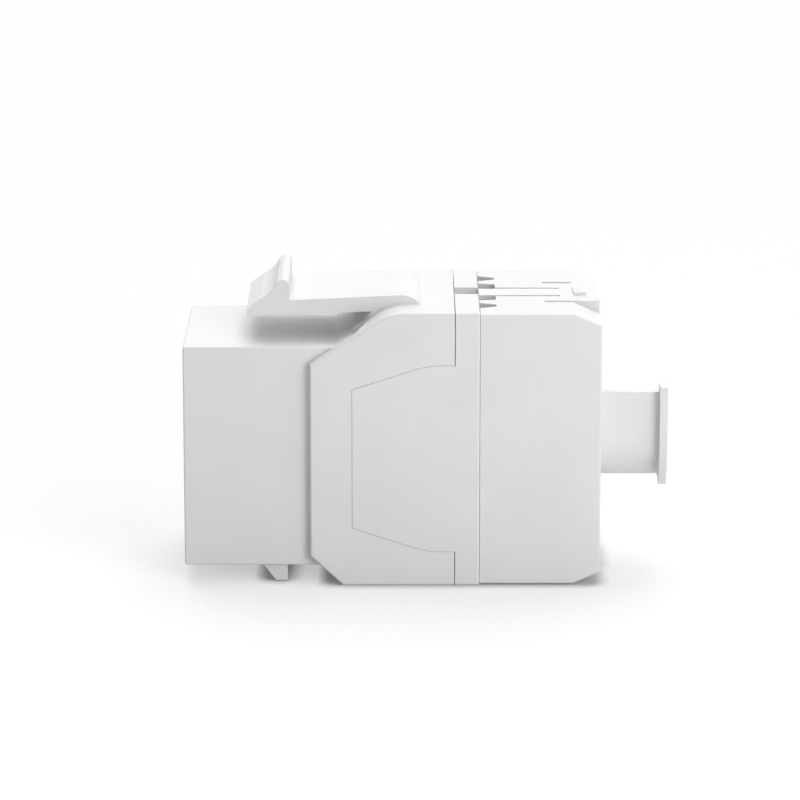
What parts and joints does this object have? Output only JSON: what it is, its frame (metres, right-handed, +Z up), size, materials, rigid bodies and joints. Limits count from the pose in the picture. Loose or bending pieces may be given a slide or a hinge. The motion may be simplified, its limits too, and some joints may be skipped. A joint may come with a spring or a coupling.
{
  "type": "keystone jack",
  "caption": "White keystone network jack: modular plug port in front, panel latch arm on top, and a push-on wire cap with a cable saddle behind.",
  "frame": {"origin": "middle of the panel seat: the plane of the shoulder, at mid-width and mid-height of the front body", "axes": "+X from the port towards the cable, +Y across the jack, +Z up towards the latch arm"},
  "size_m": [0.0353, 0.016, 0.0221],
  "materials": {
    "housing_plastic": "white moulded plastic, satin",
    "carrier_plastic": "white moulded plastic, satin",
    "board": "green circuit board",
    "contact_gold": "gold plated spring strip",
    "blade_metal": "tin plated sheet"
  },
  "bodies": {
    "jack": {"front_housing": "housing_plastic", "idc_block": "housing_plastic", "contact_carrier": "carrier_plastic", "circuit_board": "board", "spring_contact_1": "contact_gold", "spring_contact_2": "contact_gold", "spring_contact_3": "contact_gold", "spring_contact_4": "contact_gold", "spring_contact_5": "contact_gold", "spring_contact_6": "contact_gold", "spring_contact_7": "contact_gold", "spring_contact_8": "contact_gold", "idc_blade_1": "blade_metal", "idc_blade_2": "blade_metal", "idc_blade_3": "blade_metal", "idc_blade_4": "blade_metal", "idc_blade_5": "blade_metal", "idc_blade_6": "blade_metal", "idc_blade_7": "blade_metal", "idc_blade_8": "blade_metal"},
    "cap": {"wire_cap": "housing_plastic"}
  },
  "joints": [
    {"name": "cap_slide", "type": "slide", "parent": "jack", "child": "cap", "axis": [1, 0, 0], "range_m": [0, 0.01]}
  ]
}
